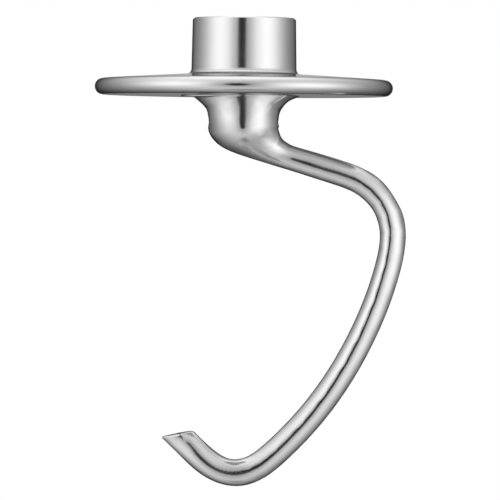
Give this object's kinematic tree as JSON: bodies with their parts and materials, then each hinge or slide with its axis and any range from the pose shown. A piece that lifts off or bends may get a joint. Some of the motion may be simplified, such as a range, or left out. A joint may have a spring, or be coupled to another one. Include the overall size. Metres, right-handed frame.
{
  "type": "stand mixer dough hook",
  "caption": "One-piece steel dough hook for a stand mixer: a bayonet hub with a drive bore, a round dough shield and a bent rod that curves down and back under the hub.",
  "frame": {"origin": "centre of the drive bore's mouth, on the hub's top face", "axes": "+Z along the bore axis, out of its mouth and up towards the mixer; +X towards the hook's belly; -Y is the front that the picture shows"},
  "size_m": [0.0842, 0.0802, 0.1266],
  "materials": {
    "steel": "polished"
  },
  "bodies": {
    "root": {"dough_hook": "steel"}
  },
  "joints": []
}
